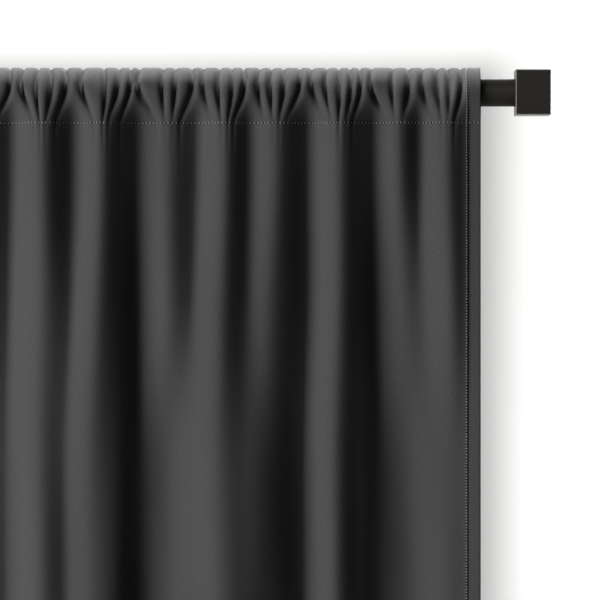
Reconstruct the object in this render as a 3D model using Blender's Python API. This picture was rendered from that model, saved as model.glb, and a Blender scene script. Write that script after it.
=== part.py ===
# A pair of rod-pocket curtains on a telescoping rod that two wall brackets carry from behind its end blocks.
# Metres, +Z up, -Y into the room. The origin is on the wall, level with the rod, midway between the brackets.
import math

import bmesh
import bpy

# The rod: an outer tube on the right and a slimmer tube that slides into it from the left
ROD_PROJECTION = 0.080          # wall to rod axis
OUTER_TUBE_RADIUS = 0.0127
TUBE_PLAY = 0.0010              # radial space between the two tubes
TUBE_WALL = 0.0008
TUBE_SIDES = 40
MOUTH_X = -0.050                # the open end of the outer tube
TELESCOPE_TRAVEL = 0.300
BUSH_SKIRT = 0.020
BUSH_FLANGE = 0.002
GLIDE_DISC = 0.004
GLIDE_SPIGOT = 0.012
PLUG_FLANGE = 0.0015
PLUG_LENGTH = 0.016
SLIDE_FIT = 0.0002              # radial play between the rod's plastic pieces and its tubes
GAP = 0.0003                    # between pieces that are fastened together

# The end blocks, square in section and a little shorter along the rod
BLOCK_SIZE = 0.042
BLOCK_BEVEL = 0.0011
EXPOSED_ROD = 0.0321            # between the cloth and the block
TUBE_INSERTION = 0.0119
SOCKET_WEB = 0.0020             # metal between the rod socket and the arm socket
END_WALL = 0.0040
ROD_GRUB_RADIUS = 0.0025
ARM_GRUB_RADIUS = 0.0020
GRUB_RECESS = 0.0005
HEX_DEPTH = 0.0020

# The brackets
ARM_RADIUS = 0.0060
ARM_INSERTION = 0.0120
COLLAR_LIP = 0.0030
COLLAR_LENGTH = 0.0030
PLATE_WIDTH = 0.026
PLATE_THICKNESS = 0.0040
PLATE_CORNER = 0.0050
PLATE_MARGIN = 0.0012           # plate left outside each screw head
BOLT_RADIUS = 0.0024
BOLT_LENGTH = 0.0180
BOLT_HEAD_RADIUS = 0.0048
SCREW_RADIUS = 0.0020
SCREW_LENGTH = 0.0350
SCREW_HEAD_RADIUS = 0.0036
SCREW_TIP = 0.0050

# The panels, as they hang gathered on the rod
PANEL_WIDTH = 0.614
PANEL_LENGTH = 1.600
CENTRE_GAP = 0.012              # between the two leading edges when closed
SIDE_HEM = 0.012
BOTTOM_HEM = 0.076
CLOTH = 0.0014                  # the simple solids are thicker than the woven cloth
HEM_CLOTH = 0.0028
POCKET_CLEARANCE = 0.0010
GATHER_DEPTH = 0.0097           # how far the gathered pocket stands off the rod
GATHER_RIPPLE = 0.0030
GATHER_PITCH = 0.045
STITCH_BELOW_ROD = 0.0152       # from the underside of the rod to the pocket's seam
SEAM = 0.0040
FOLDS = 9
FOLD_LAP = 0.012                # how far each fold laps its neighbours, half of it on each side
FOLD_BOW = 0.0095
FOLD_CLEARANCE = 0.0032         # between the folds' layers, so that they pass when drawn
FOLD_LAYERS = 3
FOLD_SPANS = 8
LABEL_WIDTH = 0.028
LABEL_LENGTH = 0.040
LABEL_ABOVE_HEM = 0.030
LABEL_CLOTH = 0.0008

# Places that follow from those sizes
innerTubeRadius = OUTER_TUBE_RADIUS - TUBE_WALL - TUBE_PLAY
collarRadius = ARM_RADIUS + COLLAR_LIP
pocketBore = OUTER_TUBE_RADIUS + POCKET_CLEARANCE
pocketRadius = pocketBore + GATHER_DEPTH
seamZ = -(OUTER_TUBE_RADIUS + STITCH_BELOW_ROD)
bottomZ = pocketRadius - PANEL_LENGTH
leadingEdge = CENTRE_GAP / 2
outerEdge = leadingEdge + PANEL_WIDTH
blockInner = outerEdge + EXPOSED_ROD
tubeEnd = blockInner + TUBE_INSERTION
socketEnd = tubeEnd + GAP + PLUG_FLANGE + GAP
armX = socketEnd + SOCKET_WEB + GAP + ARM_RADIUS
blockOuter = armX + ARM_RADIUS + GAP + END_WALL
blockBack = BLOCK_SIZE / 2
screwOffset = collarRadius + 2 * GAP + SCREW_HEAD_RADIUS
plateHeight = 2 * (screwOffset + SCREW_HEAD_RADIUS + PLATE_MARGIN)
plateFront = ROD_PROJECTION - PLATE_THICKNESS
foldRun = (PANEL_WIDTH - 2 * SIDE_HEM) / FOLDS
foldStep = FOLD_BOW + HEM_CLOTH + FOLD_CLEARANCE


def makeMaterial(name, colour, roughness, metallic=0.0):
    made = bpy.data.materials.new(name)
    made.use_nodes = True
    shader = made.node_tree.nodes["Principled BSDF"]
    shader.inputs["Base Color"].default_value = (*colour, 1)
    shader.inputs["Roughness"].default_value = roughness
    shader.inputs["Metallic"].default_value = metallic
    return made


bronze = (0.017, 0.015, 0.012)
charcoal = (0.060, 0.060, 0.061)


def emptyAt(name, parent=None, location=(0, 0, 0)):
    made = bpy.data.objects.new(name, None)
    bpy.context.scene.collection.objects.link(made)
    made.parent = parent
    made.location = location
    return made


# Everything is placed from the rod's axis: in its frame the wall is at y = ROD_PROJECTION
def place(name, mesh, parent, location=(0, 0, 0), rotation=(0, 0, 0)):
    made = bpy.data.objects.new(name, mesh)
    bpy.context.scene.collection.objects.link(made)
    made.parent = parent
    made.location = location
    made.rotation_euler = [math.radians(turn) for turn in rotation]
    return made


def finishMesh(name, bm, material=None):
    bmesh.ops.recalc_face_normals(bm, faces=bm.faces)
    mesh = bpy.data.meshes.new(name)
    bm.to_mesh(mesh)
    bm.free()
    if material:
        mesh.materials.append(material)
    return mesh


# A profile of (x, radius) points turned about the X axis. A profile that closes on itself makes a ring,
# and one that starts and ends on the axis makes a solid.
def turned(name, profile, material=None, ring=False, sides=TUBE_SIDES):
    bm = bmesh.new()
    points = [bm.verts.new((x, 0, radius)) for x, radius in profile]
    edges = [bm.edges.new(pair) for pair in zip(points, points[1:])]
    if ring:
        edges.append(bm.edges.new((points[-1], points[0])))
    bmesh.ops.spin(bm, geom=points + edges, axis=(1, 0, 0), cent=(0, 0, 0), angle=math.tau, steps=sides)
    bmesh.ops.remove_doubles(bm, verts=bm.verts, dist=1e-6)
    mesh = finishMesh(name, bm, material)
    mesh.shade_smooth()
    mesh.set_sharp_from_angle(angle=math.radians(30))
    return mesh


# Equal loops of points joined one to the next, with the first and last filled
def lofted(name, loops, material):
    bm = bmesh.new()
    rows = [[bm.verts.new(point) for point in loop] for loop in loops]
    for near, far in zip(rows, rows[1:]):
        for i, corner in enumerate(near):
            bm.faces.new((corner, near[i - 1], far[i - 1], far[i]))
    bm.faces.new(rows[0])
    bm.faces.new(rows[-1])
    return finishMesh(name, bm, material)


def boxMesh(name, size, material):
    bm = bmesh.new()
    bmesh.ops.create_cube(bm, size=1)
    bmesh.ops.scale(bm, vec=size, verts=bm.verts)
    return finishMesh(name, bm, material)


def hideCutter(cutter):
    cutter.hide_render = True
    cutter.display_type = "WIRE"


def cut(target, mesh, location=(0, 0, 0), rotation=(0, 0, 0)):
    cutter = place(f"{target.name}_cutter", mesh, target.parent, location, rotation)
    hideCutter(cutter)
    hollow = target.modifiers.new("Cut", "BOOLEAN")
    hollow.operation = "DIFFERENCE"
    hollow.solver = "EXACT"
    hollow.object = cutter


def rod(start, end, radius):
    return [(start, 0), (start, radius), (end, radius), (end, 0)]


# A countersunk head at x = 0, with its shank along +X
def screwProfile(radius, headRadius, length, tip):
    head = headRadius - radius
    return [(0, 0), (0, headRadius), (head, radius), (length - tip, radius), (length, 0.0004), (length, 0)]


def countersink(radius, headRadius, depth):
    head = headRadius - radius
    return [
        (-depth, 0),
        (-depth, headRadius + GAP),
        (0, headRadius + GAP),
        (head, radius + GAP),
        (depth, radius + GAP),
        (depth, 0),
    ]


def addGrub(name, parent, radius, length, location, rotation):
    screw = place(name, turned(name, rod(0, length, radius), steel, sides=24), parent, location, rotation)
    key = turned(f"{name}_key", rod(-HEX_DEPTH, HEX_DEPTH, radius * 0.55), sides=6)
    cut(screw, key, location, rotation)


# Everything at one end of the rod. Side is 1 on the right and -1 on the left.
def addEnd(word, side, parent, tubeRadius):
    toWall = (0, 0, 90)
    toRoom = (0, 0, -90)
    upward = (0, -90, 0)
    blockLength = blockOuter - blockInner
    blockX = side * (blockInner + blockOuter) / 2
    block = place(
        f"finial_{word}",
        boxMesh(f"finial_{word}", (blockLength, BLOCK_SIZE, BLOCK_SIZE), bronzeBlock),
        parent,
        (blockX, 0, 0),
    )
    edge = block.modifiers.new("Edge", "BEVEL")
    edge.width = BLOCK_BEVEL
    edge.segments = 2
    socketRadius = tubeRadius + GAP
    sideTurn = (0, 0, 0) if side > 0 else (0, 0, 180)
    socket = turned("socket", rod(-0.01, socketEnd - blockInner, socketRadius))
    cut(block, socket, (side * blockInner, 0, 0), sideTurn)

    armTip = blockBack - ARM_INSERTION
    socket = turned("arm_socket", rod(-0.01, ARM_INSERTION + GAP, ARM_RADIUS + GAP))
    cut(block, socket, (side * armX, blockBack, 0), toRoom)
    rodGrubX = side * (blockInner + TUBE_INSERTION / 2)
    rodGrubRun = blockBack - tubeRadius
    grubHole = turned("rod_grub_hole", rod(-0.01, rodGrubRun, ROD_GRUB_RADIUS + GAP), sides=24)
    cut(block, grubHole, (rodGrubX, blockBack, 0), toRoom)
    armGrubY = blockBack - ARM_INSERTION / 2
    armGrubRun = BLOCK_SIZE / 2 - ARM_RADIUS
    grubHole = turned("arm_grub_hole", rod(-0.01, armGrubRun, ARM_GRUB_RADIUS + GAP), sides=24)
    cut(block, grubHole, (side * armX, armGrubY, -BLOCK_SIZE / 2), upward)

    addGrub(
        f"rod_grub_screw_{word}",
        parent,
        ROD_GRUB_RADIUS,
        rodGrubRun - GRUB_RECESS - GAP,
        (rodGrubX, blockBack - GRUB_RECESS, 0),
        toRoom,
    )
    addGrub(
        f"arm_grub_screw_{word}",
        parent,
        ARM_GRUB_RADIUS,
        armGrubRun - GRUB_RECESS - GAP,
        (side * armX, armGrubY, GRUB_RECESS - BLOCK_SIZE / 2),
        upward,
    )

    plugRadius = tubeRadius - TUBE_WALL - SLIDE_FIT
    profile = [(0, 0), (0, plugRadius), (PLUG_LENGTH, plugRadius), (PLUG_LENGTH, tubeRadius)]
    profile += [(PLUG_LENGTH + PLUG_FLANGE, tubeRadius), (PLUG_LENGTH + PLUG_FLANGE, 0)]
    plug = turned(f"rod_plug_{word}", profile, blackPlastic)
    plugStart = tubeEnd + GAP - PLUG_LENGTH
    place(f"rod_plug_{word}", plug, parent, (side * plugStart, 0, 0), sideTurn)

    armStart = plateFront - GAP
    armLength = armStart - armTip
    profile = [(0, 0), (0, collarRadius), (COLLAR_LENGTH, collarRadius), (COLLAR_LENGTH, ARM_RADIUS)]
    profile += [(armLength, ARM_RADIUS), (armLength, 0)]
    arm = turned(f"bracket_arm_{word}", profile, bronzeArm)
    bar = place(f"bracket_arm_{word}", arm, parent, (side * armX, armStart, 0), toRoom)
    threadEnd = BOLT_LENGTH + GAP - PLATE_THICKNESS
    thread = turned("arm_thread", rod(-0.01, threadEnd, BOLT_RADIUS + GAP), sides=24)
    cut(bar, thread, (side * armX, armStart, 0), toRoom)

    addWallPlate(word, side, parent)
    bolt = turned(
        f"arm_bolt_{word}",
        screwProfile(BOLT_RADIUS, BOLT_HEAD_RADIUS, BOLT_LENGTH - GAP, 0.001),
        steel,
        sides=24,
    )
    place(f"arm_bolt_{word}", bolt, parent, (side * armX, ROD_PROJECTION - GAP, 0), toRoom)
    screw = turned(
        "wall_screw",
        screwProfile(SCREW_RADIUS, SCREW_HEAD_RADIUS, SCREW_LENGTH, SCREW_TIP),
        steel,
        sides=24,
    )
    for level, z in (("upper", screwOffset), ("lower", -screwOffset)):
        place(f"wall_screw_{word}_{level}", screw, parent, (side * armX, plateFront + GAP, z), toWall)


def roundedCorners(width, height, radius, steps=6):
    points = []
    for corner in range(4):
        centreX = (width / 2 - radius) * (1 if corner in (0, 3) else -1)
        centreZ = (height / 2 - radius) * (1 if corner < 2 else -1)
        for step in range(steps + 1):
            angle = math.radians(90 * (corner + step / steps))
            points.append((centreX + radius * math.cos(angle), centreZ + radius * math.sin(angle)))
    return points


def addWallPlate(word, side, parent):
    outline = roundedCorners(PLATE_WIDTH, plateHeight, PLATE_CORNER)
    loops = [[(x, y, z) for x, z in outline] for y in (0, PLATE_THICKNESS)]
    name = f"wall_plate_{word}"
    plate = place(name, lofted(name, loops, bronzeArm), parent, (side * armX, plateFront, 0))
    hole = turned("bolt_hole", countersink(BOLT_RADIUS, BOLT_HEAD_RADIUS, 0.01), sides=24)
    cut(plate, hole, (side * armX, ROD_PROJECTION - GAP, 0), (0, 0, -90))
    hole = turned("screw_hole", countersink(SCREW_RADIUS, SCREW_HEAD_RADIUS, 0.01), sides=24)
    for height in (screwOffset, -screwOffset):
        cut(plate, hole, (side * armX, plateFront + GAP, height), (0, 0, 90))


def tubeProfile(start, end, radius):
    inside = radius - TUBE_WALL
    return [(start, inside), (start, radius), (end, radius), (end, inside)]


def addRod(outerParent, innerParent):
    profile = tubeProfile(MOUTH_X, tubeEnd, OUTER_TUBE_RADIUS)
    place("rod_outer_tube", turned("rod_outer_tube", profile, bronzeRod, ring=True), outerParent)

    bushBore = innerTubeRadius + SLIDE_FIT
    skirtRadius = OUTER_TUBE_RADIUS - TUBE_WALL - SLIDE_FIT
    mouth = MOUTH_X - GAP
    skirtEnd = mouth + BUSH_SKIRT
    flange = mouth - BUSH_FLANGE
    bush = [(flange, bushBore), (flange, OUTER_TUBE_RADIUS), (mouth, OUTER_TUBE_RADIUS)]
    bush += [(mouth, skirtRadius), (skirtEnd, skirtRadius), (skirtEnd, bushBore)]
    place("telescope_bush", turned("telescope_bush", bush, blackPlastic, ring=True), outerParent)

    # The glide's disc meets the bush's skirt when the rod is fully out
    discStart = skirtEnd + GAP + TELESCOPE_TRAVEL
    glideBore = innerTubeRadius - TUBE_WALL - SLIDE_FIT
    spigotStart = discStart - GLIDE_SPIGOT
    glide = [(spigotStart, 0), (spigotStart, glideBore), (discStart, glideBore), (discStart, skirtRadius)]
    glide += [(discStart + GLIDE_DISC, skirtRadius), (discStart + GLIDE_DISC, 0)]
    place("inner_tube_glide", turned("inner_tube_glide", glide, blackPlastic), innerParent)
    profile = tubeProfile(-tubeEnd, discStart - GAP, innerTubeRadius)
    place("rod_inner_tube", turned("rod_inner_tube", profile, bronzeRod, ring=True), innerParent)


# The pocket's section in (y, z): round over the rod, then straight down to its seam on both sides
def pocketSection(radius, seam, arcSteps=16):
    reach = math.hypot(seam / 2, seamZ)
    lean = math.acos(radius / reach) - math.atan2(seam / 2, -seamZ)
    start = -math.pi / 2 + lean
    sweep = 2 * math.pi - 2 * lean
    section = []
    for step in range(arcSteps + 1):
        angle = start + sweep * step / arcSteps
        section.append((radius * math.cos(angle), radius * math.sin(angle)))
    section.append((-seam / 2, seamZ))
    section.append((seam / 2, seamZ))
    return section


def pocketMesh():
    run = PANEL_WIDTH - 2 * (SIDE_HEM + GAP)
    waves = max(1, round(run / GATHER_PITCH))
    loops = []
    for station in range(2 * waves + 1):
        radius = pocketRadius - GATHER_RIPPLE * (station % 2)
        x = run * (station / (2 * waves) - 0.5)
        loops.append([(x, y, z) for y, z in pocketSection(radius, SEAM)])
    return lofted("rod_pocket", loops, fabric)


# Where a side hem crosses the pocket it makes the pocket's flat end, which isn't gathered
def pocketEndMesh():
    section = pocketSection(pocketRadius, SEAM)
    loops = [[(x, y, z) for y, z in section] for x in (-SIDE_HEM / 2, SIDE_HEM / 2)]
    return lofted("pocket_end", loops, fabric)


# A side hem runs from the pocket's seam down to the panel's bottom
def sideHemMesh():
    top = seamZ - GAP
    half = HEM_CLOTH / 2
    section = [(-half, top), (-half, bottomZ), (half, bottomZ), (half, top)]
    loops = [[(x, y, z) for y, z in section] for x in (-SIDE_HEM / 2, SIDE_HEM / 2)]
    return lofted("side_hem", loops, fabric)


# One fold bows towards the room, and its bottom hem is a double thickness
def foldMesh():
    width = foldRun + FOLD_LAP
    top = seamZ - GAP
    hemTop = bottomZ + BOTTOM_HEM
    thin = CLOTH / 2
    thick = HEM_CLOTH / 2
    section = [(thin, top), (thin, hemTop + CLOTH), (thick, hemTop), (thick, bottomZ)]
    section += [(-y, z) for y, z in reversed(section)]
    loops = []
    for span in range(FOLD_SPANS + 1):
        across = 2 * span / FOLD_SPANS - 1
        bow = FOLD_BOW * (0.5 - math.cos(across * math.pi / 2))
        loops.append([(across * width / 2, y + bow, z) for y, z in section])
    return lofted("fold", loops, fabric)


def boreForRod(target, length, location):
    cut(target, turned("rod_bore", rod(-length, length, pocketBore)), location)


def addPanel(word, side, parent, pocket, pocketEnd, hem, fold):
    panel = emptyAt(f"{word}_panel_swing", parent)
    leading = emptyAt(f"{word}_leading_edge_slide", panel, (side * leadingEdge, 0, 0))
    middle = side * (leadingEdge + outerEdge) / 2
    piece = place(f"{word}_rod_pocket", pocket, panel, (middle, 0, 0))
    boreForRod(piece, PANEL_WIDTH, (middle, 0, 0))

    hemX = side * (outerEdge - SIDE_HEM / 2)
    leadingHemX = side * SIDE_HEM / 2
    for edge, x, holder in (("side", hemX, panel), ("leading", leadingHemX, leading)):
        place(f"{word}_{edge}_hem", hem, holder, (x, 0, 0))
        piece = place(f"{word}_{edge}_pocket_end", pocketEnd, holder, (x, 0, 0))
        boreForRod(piece, SIDE_HEM, (x, 0, 0))

    for number in range(FOLDS):
        layer = (number % FOLD_LAYERS - (FOLD_LAYERS - 1) / 2) * foldStep
        x = side * (outerEdge - SIDE_HEM - (number + 0.5) * foldRun)
        slide = emptyAt(f"{word}_fold_{number + 1}_slide", panel, (x, 0, 0))
        place(f"{word}_fold_{number + 1}", fold, slide, (0, layer, 0))

    labelZ = bottomZ + BOTTOM_HEM + LABEL_ABOVE_HEM + LABEL_LENGTH / 2
    label = boxMesh(f"{word}_care_label", (LABEL_WIDTH, LABEL_CLOTH, LABEL_LENGTH), labelCloth)
    labelX = side * (outerEdge - GAP - LABEL_WIDTH / 2)
    place(f"{word}_care_label", label, panel, (labelX, HEM_CLOTH / 2 + GAP + LABEL_CLOTH / 2, labelZ))


for old in list(bpy.data.objects):
    bpy.data.objects.remove(old, do_unlink=True)

bronzeRod = makeMaterial("bronze_rod", bronze, 0.38, 0.6)
bronzeBlock = makeMaterial("bronze_block", bronze, 0.42, 0.6)
bronzeArm = makeMaterial("bronze_bracket", bronze, 0.48, 0.5)
steel = makeMaterial("screw_steel", (0.42, 0.41, 0.40), 0.35, 1.0)
blackPlastic = makeMaterial("black_plastic", (0.03, 0.03, 0.03), 0.5)
fabric = makeMaterial("charcoal_cloth", charcoal, 0.95)
labelCloth = makeMaterial("white_label", (0.80, 0.79, 0.76), 0.7)

rodAxis = emptyAt("rod_axis", location=(0, -ROD_PROJECTION, 0))
leftTube = emptyAt("left_tube_slide", rodAxis)
addRod(rodAxis, leftTube)
addEnd("right", 1, rodAxis, OUTER_TUBE_RADIUS)
addEnd("left", -1, leftTube, innerTubeRadius)

pocketShape = pocketMesh()
pocketEndShape = pocketEndMesh()
hemShape = sideHemMesh()
foldShape = foldMesh()
addPanel("right", 1, rodAxis, pocketShape, pocketEndShape, hemShape, foldShape)
addPanel("left", -1, leftTube, pocketShape, pocketEndShape, hemShape, foldShape)
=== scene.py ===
import math
import random

import bpy
import numpy as np
from mathutils import Matrix, Vector


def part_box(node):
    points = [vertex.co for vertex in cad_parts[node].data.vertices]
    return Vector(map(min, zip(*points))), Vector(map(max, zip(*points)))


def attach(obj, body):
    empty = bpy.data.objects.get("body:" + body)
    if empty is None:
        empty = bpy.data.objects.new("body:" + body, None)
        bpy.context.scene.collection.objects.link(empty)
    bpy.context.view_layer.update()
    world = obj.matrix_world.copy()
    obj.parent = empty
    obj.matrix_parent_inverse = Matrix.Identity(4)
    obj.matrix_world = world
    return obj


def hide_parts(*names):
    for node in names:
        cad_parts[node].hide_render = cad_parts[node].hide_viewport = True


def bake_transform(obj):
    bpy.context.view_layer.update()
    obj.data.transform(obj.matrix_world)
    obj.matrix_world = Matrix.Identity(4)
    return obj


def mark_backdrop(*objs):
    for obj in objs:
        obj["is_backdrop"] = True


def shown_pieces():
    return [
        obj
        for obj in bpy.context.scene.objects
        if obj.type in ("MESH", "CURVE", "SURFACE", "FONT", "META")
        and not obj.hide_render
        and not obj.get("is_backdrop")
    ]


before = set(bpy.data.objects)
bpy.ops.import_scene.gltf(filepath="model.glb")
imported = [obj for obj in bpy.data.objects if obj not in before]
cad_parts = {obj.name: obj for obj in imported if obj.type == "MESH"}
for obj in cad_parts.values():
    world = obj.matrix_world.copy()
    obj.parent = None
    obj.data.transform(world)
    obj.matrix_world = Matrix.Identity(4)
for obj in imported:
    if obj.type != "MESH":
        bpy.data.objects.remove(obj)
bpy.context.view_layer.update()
mm = 0.001
print("frame loaded with", len(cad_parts), "nodes")


# Places read from the frame
rodLow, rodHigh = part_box("rod_outer_tube")
rodRadius = (rodHigh.z - rodLow.z) / 2
rodY = (rodHigh.y + rodLow.y) / 2
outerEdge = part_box("right_side_hem")[1].x
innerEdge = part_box("right_leading_hem")[0].x
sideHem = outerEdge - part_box("right_side_hem")[0].x
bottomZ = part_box("right_side_hem")[0].z
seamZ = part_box("right_side_pocket_end")[0].z
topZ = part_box("right_side_pocket_end")[1].z
panelWidth = outerEdge - innerEdge


# Materials
class Wire:  # a node's output that can stand in a sum
    def __init__(self, finish, socket):
        self.finish = finish
        self.socket = socket

    def math(self, operation, *values):
        return self.finish.node("ShaderNodeMath", {"operation": operation}, dict(enumerate(values)))

    def __add__(self, other):
        return self.math("ADD", self, other)

    def __sub__(self, other):
        return self.math("SUBTRACT", self, other)

    def __rsub__(self, other):
        return self.math("SUBTRACT", other, self)

    def __mul__(self, other):
        return self.math("MULTIPLY", self, other)

    def __truediv__(self, other):
        return self.math("DIVIDE", self, other)

    __radd__ = __add__
    __rmul__ = __mul__


class Finish:  # a material, with its nodes made by one method
    def __init__(self, name, **constants):
        self.material = bpy.data.materials.new(name)
        self.material.use_nodes = True
        self.tree = self.material.node_tree
        self.shader = self.tree.nodes["Principled BSDF"]
        for socket, value in constants.items():
            self.shader.inputs[socket.replace("_", " ")].default_value = value

    def node(self, kind, settings=None, inputs=None, output=0):
        made = self.tree.nodes.new(kind)
        for name, value in (settings or {}).items():
            if name == "stops":
                self.setStops(made.color_ramp, value)
            else:
                setattr(made, name, value)
        for name, value in (inputs or {}).items():
            if isinstance(value, Wire):
                self.tree.links.new(value.socket, made.inputs[name])
            else:
                made.inputs[name].default_value = value
        return Wire(self, made.outputs[output])

    def setStops(self, ramp, stops):
        while len(ramp.elements) < len(stops):
            ramp.elements.new(0.5)
        for element, (place, shade) in zip(ramp.elements, stops):
            element.position = place
            element.color = (shade, shade, shade, 1)

    def mixed(self, factor, first, second):
        settings = {"data_type": "RGBA"}
        return self.node("ShaderNodeMix", settings, {0: factor, 6: first, 7: second}, output=2)

    def objectPlace(self):
        return self.node("ShaderNodeTexCoord", output="Object")

    def clothPlace(self):
        return self.node("ShaderNodeUVMap", {"uv_map": "flatCloth"})

    def noise(self, place, scale, detail=2.0, roughness=0.5):
        inputs = {"Vector": place, "Scale": scale, "Detail": detail, "Roughness": roughness}
        return self.node("ShaderNodeTexNoise", {}, inputs)

    def shaded(self, factor, colour, spread):  # the colour, from darker to lighter as factor goes 0 to 1
        dark = [channel * (1 - spread) for channel in colour]
        light = [channel * (1 + spread) for channel in colour]
        return self.mixed(factor, (*dark, 1), (*light, 1))

    def feed(self, socket, wire):
        self.tree.links.new(wire.socket, self.shader.inputs[socket])

    def bump(self, height, strength, distance):
        inputs = {"Height": height, "Strength": strength, "Distance": distance}
        self.feed("Normal", self.node("ShaderNodeBump", {}, inputs))


clothFinish = {
    "colour": (0.0505, 0.0508, 0.0515),
    "threadPitch": 0.55 * mm,
    "grain": 760,           # noise cells a metre
    "grainSpread": 0.30,
}


def makeCloth():
    finish = Finish("charcoalCloth", Roughness=0.92, Sheen_Weight=0.10, Sheen_Roughness=0.45)
    finish.shader.inputs["Specular IOR Level"].default_value = 0.25
    place = finish.clothPlace()
    across = finish.node("ShaderNodeSeparateXYZ", {}, {0: place}, output=0)
    along = finish.node("ShaderNodeSeparateXYZ", {}, {0: place}, output=1)
    turns = math.tau / clothFinish["threadPitch"]
    warp = finish.node("ShaderNodeMath", {"operation": "SINE"}, {0: across * turns})
    weft = finish.node("ShaderNodeMath", {"operation": "SINE"}, {0: (along + across * 0.5) * turns})
    weave = 0.5 + 0.25 * (warp + weft)
    grain = finish.noise(place, clothFinish["grain"], 3, 0.65)
    cloudy = finish.noise(place, 9, 3)
    shade = finish.node("ShaderNodeValToRGB", {"stops": [(0.30, 0), (0.70, 1)]}, {0: grain})
    speckled = finish.shaded(shade, clothFinish["colour"], clothFinish["grainSpread"])
    # large soft patches a little lighter, as the cloth fades unevenly
    wearAndEdgeHighlight = finish.mixed(cloudy * 0.16, speckled, (0.066, 0.066, 0.067, 1))
    finish.feed("Base Color", wearAndEdgeHighlight)
    finish.feed("Roughness", 0.84 + 0.12 * grain)
    finish.bump(weave * 0.5 + grain, 0.35, 0.25 * mm)
    return finish.material


def makeThread():
    finish = Finish("charcoalThread", Roughness=0.55, Sheen_Weight=0.2)
    place = finish.objectPlace()
    grain = finish.noise(place, 1500, 2)
    finish.feed("Base Color", finish.shaded(grain, (0.25, 0.25, 0.254), 0.3))
    finish.feed("Roughness", 0.42 + 0.25 * grain)
    return finish.material


# painted shade: a near-black colour for the discs that stand for the needle holes' shadow
def makePaintedHoleShade():
    finish = Finish("paintedHoleShade", Roughness=0.95)
    grain = finish.noise(finish.objectPlace(), 1500, 2)
    finish.feed("Base Color", finish.shaded(grain, (0.004, 0.004, 0.004), 0.4))
    finish.shader.inputs["Specular IOR Level"].default_value = 0.0
    return finish.material


# the mask for the painted highlight along the end blocks' rounded edges
def blockEdges(finish, place):  # 1 along the end blocks' rounded edges, 0 on their faces
    low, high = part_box("finial_right")
    shares = []
    for axis in range(3):
        value = finish.node("ShaderNodeSeparateXYZ", {}, {0: place}, output=axis)
        if axis == 0:   # the left block mirrors the right one
            value = value.math("ABSOLUTE", value)
        away = value - (low[axis] + high[axis]) / 2
        shares.append(away.math("ABSOLUTE", away) / ((high[axis] - low[axis]) / 2))
    first, second, third = shares
    least = first.math("MINIMUM", first.math("MINIMUM", first, second), third)
    # the edge measure, jittered a little by noise, that places the painted edge highlight
    wearAndEdgeHighlight = first + second + third - least + 0.006 * finish.noise(place, 420, 2)
    return finish.node("ShaderNodeMapRange", {}, {0: wearAndEdgeHighlight, 1: 1.944, 2: 1.972, 3: 0.0, 4: 1.0})


def makeBronze(name, colour, roughness, texture, bumpDepth, gloss, edgeColour=None):
    finish = Finish(name, Metallic=0.35)
    finish.shader.inputs["Specular IOR Level"].default_value = gloss
    place = finish.objectPlace()
    fleck = finish.noise(place, texture, 3, 0.6)
    patch = finish.noise(place, 26, 3)
    shade = finish.shaded(fleck, colour, 0.25)
    # the rounded edges take a lighter colour: a painted highlight
    if edgeColour:
        shade = finish.mixed(blockEdges(finish, place), shade, (*edgeColour, 1))
    finish.feed("Base Color", shade)
    finish.feed("Roughness", roughness + 0.14 * patch + 0.06 * fleck)
    finish.bump(fleck, 0.25, bumpDepth)
    return finish.material


def makeSteel():
    finish = Finish("zincSteel", Metallic=1.0)
    place = finish.objectPlace()
    grain = finish.noise(place, 900, 3)
    patch = finish.noise(place, 140, 3)
    finish.feed("Base Color", finish.shaded(patch, (0.46, 0.45, 0.43), 0.22))
    finish.feed("Roughness", 0.26 + 0.22 * patch + 0.05 * grain)
    finish.bump(grain, 0.12, 0.05 * mm)
    return finish.material


def makePlastic():
    finish = Finish("blackPlastic")
    place = finish.objectPlace()
    grain = finish.noise(place, 1400, 2)
    finish.feed("Base Color", finish.shaded(grain, (0.028, 0.028, 0.028), 0.2))
    finish.feed("Roughness", 0.42 + 0.16 * grain)
    finish.bump(grain, 0.2, 0.05 * mm)
    return finish.material


def makeLabelTape():
    finish = Finish("labelTape", Sheen_Weight=0.3, Roughness=0.6)
    place = finish.objectPlace()
    across = finish.node("ShaderNodeSeparateXYZ", {}, {0: place}, output=0)
    ribs = finish.node("ShaderNodeMath", {"operation": "SINE"}, {0: across * (math.tau / (0.45 * mm))})
    patch = finish.noise(place, 120, 2)
    finish.feed("Base Color", finish.shaded(patch, (0.76, 0.75, 0.72), 0.06))
    finish.feed("Roughness", 0.5 + 0.2 * patch)
    finish.bump(ribs, 0.2, 0.04 * mm)
    return finish.material


charcoalCloth = makeCloth()
charcoalThread = makeThread()
paintedHoleShade = makePaintedHoleShade()
rodLacquer = makeBronze("rodLacquer", (0.019, 0.0172, 0.0135), 0.50, 900, 0.03 * mm, 0.2)
# the second colour is a painted highlight for the blocks' rounded edges
blockColour, paintedEdgeHighlight = (0.026, 0.0235, 0.0195), (0.15, 0.145, 0.13)
blockLacquer = makeBronze("blockLacquer", blockColour, 0.20, 1100, 0.03 * mm, 0.5, paintedEdgeHighlight)
bracketCoat = makeBronze("bracketCoat", (0.022, 0.020, 0.016), 0.44, 700, 0.06 * mm, 0.4)
zincSteel = makeSteel()
blackPlastic = makePlastic()
labelTape = makeLabelTape()
print("materials made")


# Modelling by hand
def pickNothing():
    if bpy.context.mode != "OBJECT":
        bpy.ops.object.mode_set(mode="OBJECT")
    bpy.ops.object.select_all(action="DESELECT")


def pick(piece):
    pickNothing()
    piece.select_set(True)
    bpy.context.view_layer.objects.active = piece


def added(name):  # the primitive just added, under its own name
    piece = bpy.context.object
    piece.name = name
    piece.data.name = name
    return piece


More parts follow.
